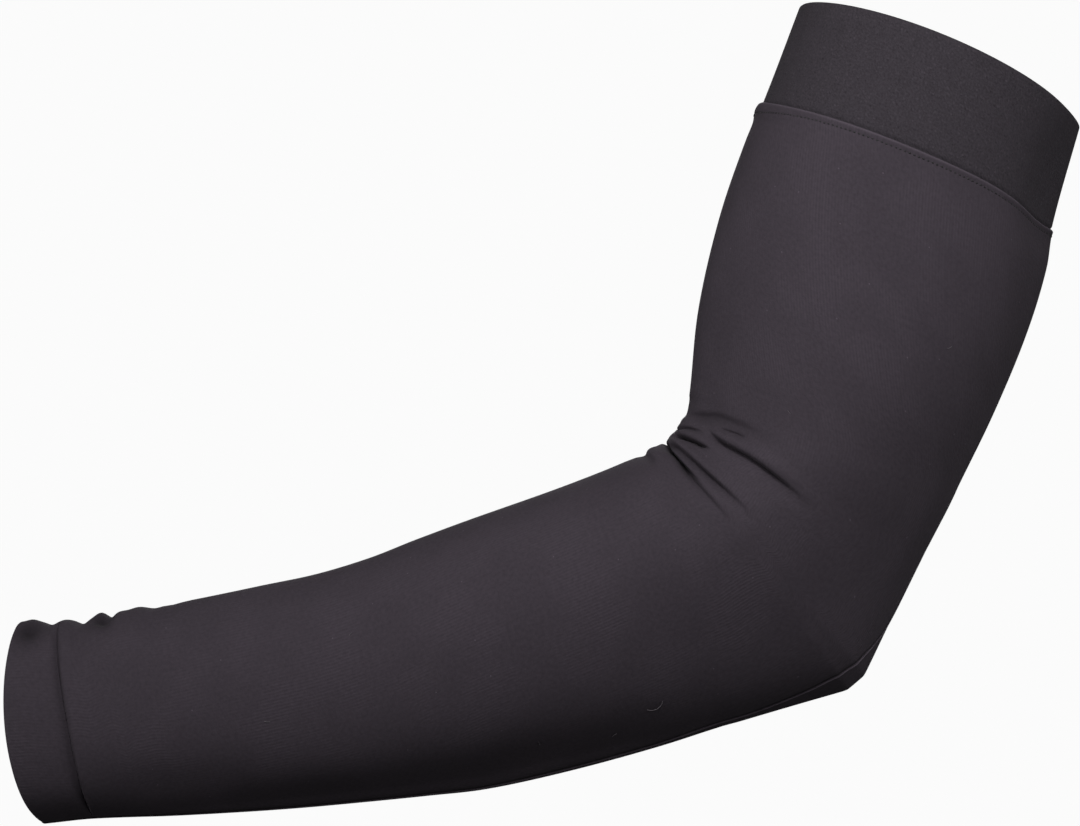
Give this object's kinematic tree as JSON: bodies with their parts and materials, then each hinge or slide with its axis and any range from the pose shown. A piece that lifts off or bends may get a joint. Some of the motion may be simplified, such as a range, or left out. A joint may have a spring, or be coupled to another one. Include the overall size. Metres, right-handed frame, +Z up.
{
  "type": "arm warmer",
  "caption": "Long black knit arm warmer bent at the elbow: a close-fitting open sleeve with an elastic gripper band at the upper arm and a doubled cuff at the wrist.",
  "frame": {"origin": "centre of the upper-arm opening, on the arm's centre line at the gripper band's top edge", "axes": "+X from the wrist towards the upper arm, level with the picture; +Y to the far side, away from the picture's camera; +Z up as worn, from the elbow towards the shoulder"},
  "size_m": [0.3597, 0.0988, 0.2777],
  "materials": {
    "knit": "matte brushed stretch knit",
    "elastic": "matte plush elastic"
  },
  "bodies": {
    "root": {"sleeve": "knit", "gripper_band": "elastic", "wrist_cuff": "knit"}
  },
  "joints": []
}
